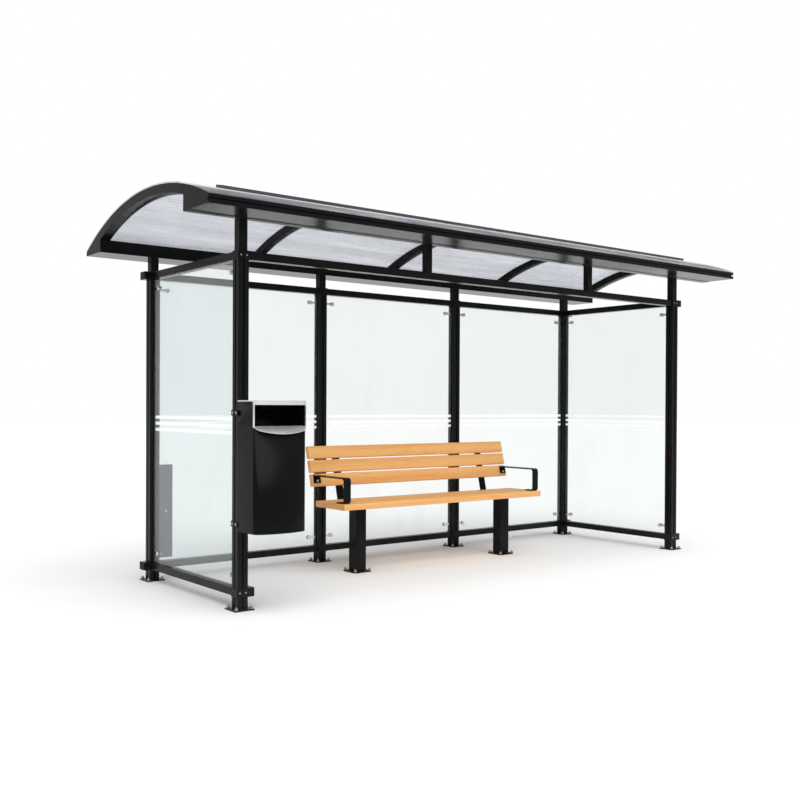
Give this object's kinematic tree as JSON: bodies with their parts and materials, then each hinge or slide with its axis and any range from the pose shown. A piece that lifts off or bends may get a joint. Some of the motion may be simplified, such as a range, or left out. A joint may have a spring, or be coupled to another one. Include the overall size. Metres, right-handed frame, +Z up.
{
  "type": "bus shelter",
  "caption": "Open-fronted bus shelter with black metal posts, glass side and rear walls, an arched clear roof, a wooden bench with armrests, and a litter bin on one front post.",
  "frame": {"origin": "on the ground, under the middle of the roof's outline", "axes": "+X along the shelter toward the end without the bin, +Y toward the rear glass wall, +Z up"},
  "size_m": [4.91, 1.79, 2.52],
  "materials": {
    "black_frame": "fine-textured black powder coat on aluminium and steel",
    "glass": "clear toughened glass with printed white stripes",
    "roof_sheet": "cloudy clear polycarbonate sheet",
    "wood": "oiled hardwood",
    "black_steel": "black powder coat on steel",
    "stainless": "brushed stainless steel",
    "clamp_metal": "polished stainless steel",
    "grey_box": "grey powder coat"
  },
  "bodies": {
    "root": {"post_front_left": "black_frame", "post_front_right": "black_frame", "post_rear_left": "black_frame", "post_rear_middle_left": "black_frame", "post_rear_middle_right": "black_frame", "post_rear_right": "black_frame", "base_plates": "black_frame", "low_collars": "black_frame", "top_collars": "black_frame", "front_struts": "black_frame", "rear_struts": "black_frame", "low_rail_left": "black_frame", "low_rail_right": "black_frame", "low_rails_rear": "black_frame", "top_rail_left": "black_frame", "top_rail_right": "black_frame", "top_rails_rear": "black_frame", "top_rail_front": "black_frame", "roof_front_beam": "black_frame", "roof_rear_beam": "black_frame", "roof_arch_left": "black_frame", "roof_arch_right": "black_frame", "roof_ribs": "black_frame", "roof_strip": "black_frame", "roof_sheet": "roof_sheet", "glass_left": "glass", "glass_right": "glass", "glass_rear_left": "glass", "glass_rear_middle": "glass", "glass_rear_right": "glass", "glass_clamps": "clamp_metal", "service_box": "grey_box", "bench_seat": "wood", "bench_slat_low": "wood", "bench_slat_middle": "wood", "bench_slat_top": "wood", "bench_legs": "black_steel", "bench_base_plates": "black_steel", "bench_brackets": "black_steel", "bench_armrest_left": "black_steel", "bench_armrest_right": "black_steel", "bin_body": "black_steel", "bin_clamps": "black_steel", "bin_lid": "stainless", "bin_trim": "stainless"}
  },
  "joints": []
}
